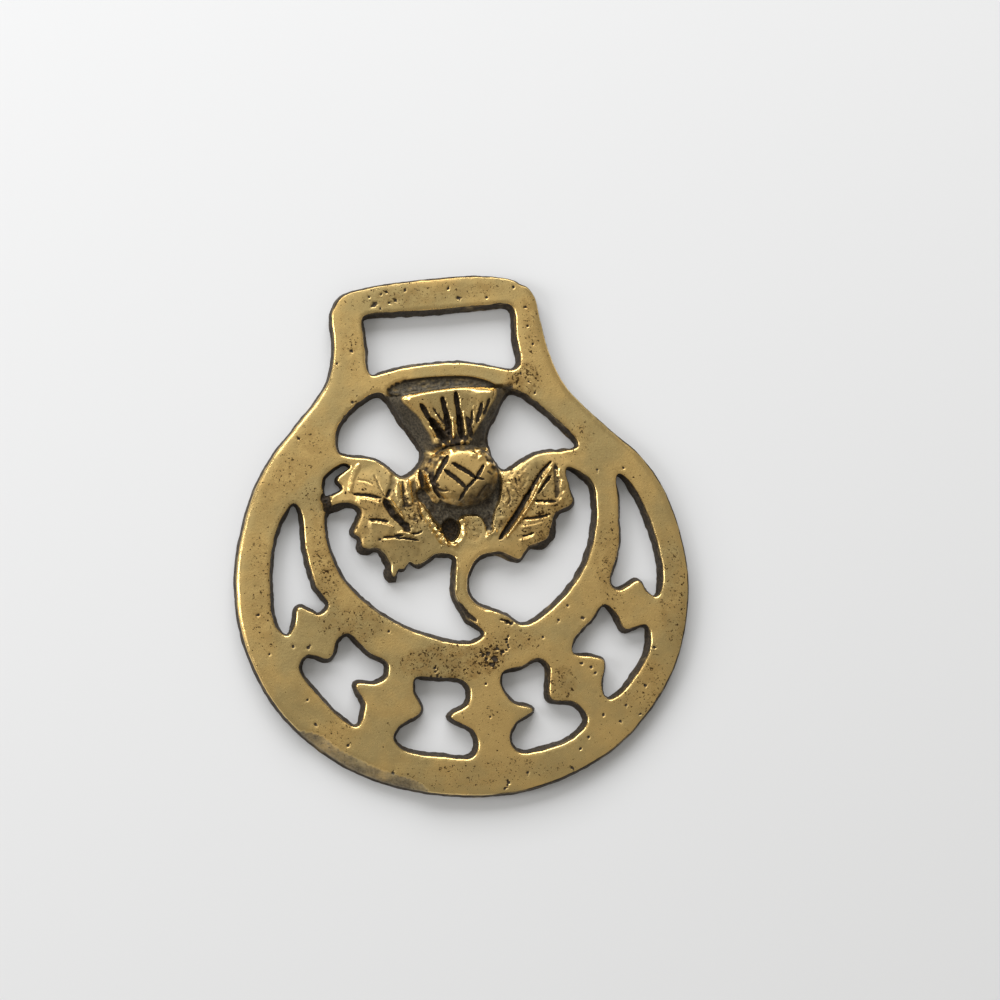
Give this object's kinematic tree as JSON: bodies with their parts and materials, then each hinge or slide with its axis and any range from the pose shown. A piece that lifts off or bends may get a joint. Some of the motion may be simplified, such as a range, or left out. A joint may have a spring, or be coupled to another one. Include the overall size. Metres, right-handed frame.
{
  "type": "horse brass",
  "caption": "Round pierced harness ornament with a thistle in relief inside the ring, openwork around it and a strap slot at the top.",
  "frame": {"origin": "under the middle of the bounding box, on the flat back it lies on", "axes": "+Z out of the face, +Y from the ring towards the strap hanger, +X to the right as the face is seen"},
  "size_m": [0.0765, 0.0876, 0.0068],
  "materials": {
    "brass": "satin"
  },
  "bodies": {
    "root": {"horse_brass": "brass"}
  },
  "joints": []
}
